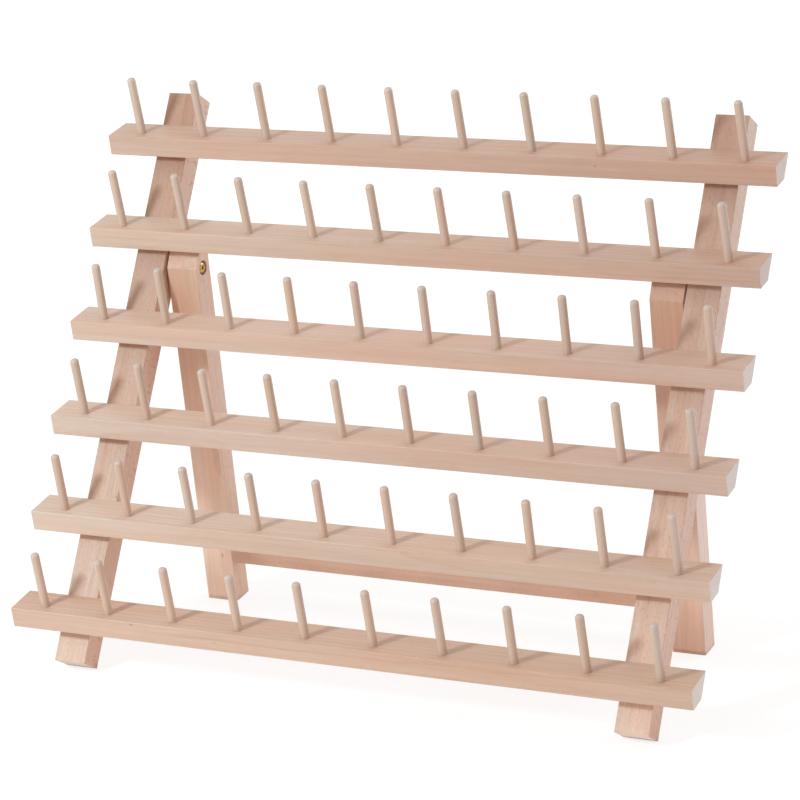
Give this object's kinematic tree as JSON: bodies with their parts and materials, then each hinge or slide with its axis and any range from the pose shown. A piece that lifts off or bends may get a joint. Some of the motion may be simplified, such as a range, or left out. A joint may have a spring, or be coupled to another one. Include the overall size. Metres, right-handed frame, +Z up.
{
  "type": "thread rack",
  "caption": "Folding wooden rack of tiered, forward-tilted bars set with rounded pegs that hold thread spools; a hinged rear prop with a rail stands it at a lean.",
  "frame": {"origin": "on the floor, in the middle of the rack's bounding box as it stands open", "axes": "+X to the right along the bars, +Y to the back, +Z up; the pegs face the front, -Y"},
  "size_m": [0.4, 0.183, 0.3091],
  "materials": {
    "beech": "sanded bare beech",
    "dowel": "smooth bare beech dowel",
    "brass": "bright brass",
    "zinc_steel": "zinc-plated steel"
  },
  "bodies": {
    "rack": {"upright_left": "beech", "upright_right": "beech", "bar_1": "beech", "bar_2": "beech", "bar_3": "beech", "bar_4": "beech", "bar_5": "beech", "bar_6": "beech", "pegs_1": "dowel", "pegs_2": "dowel", "pegs_3": "dowel", "pegs_4": "dowel", "pegs_5": "dowel", "pegs_6": "dowel", "bar_screws_left": "zinc_steel", "bar_screws_right": "zinc_steel", "pivot_washer_left": "zinc_steel", "pivot_washer_right": "zinc_steel", "pivot_screw_left": "brass", "pivot_screw_right": "brass"},
    "prop": {"leg_left": "beech", "leg_right": "beech", "leg_rail": "beech", "rail_screws": "zinc_steel"}
  },
  "joints": [
    {"name": "prop_fold", "type": "hinge", "parent": "rack", "child": "prop", "pos_m": [0, 0.03544, 0.20408], "axis": [-1, 0, 0], "range_deg": [0, 36.5]}
  ]
}
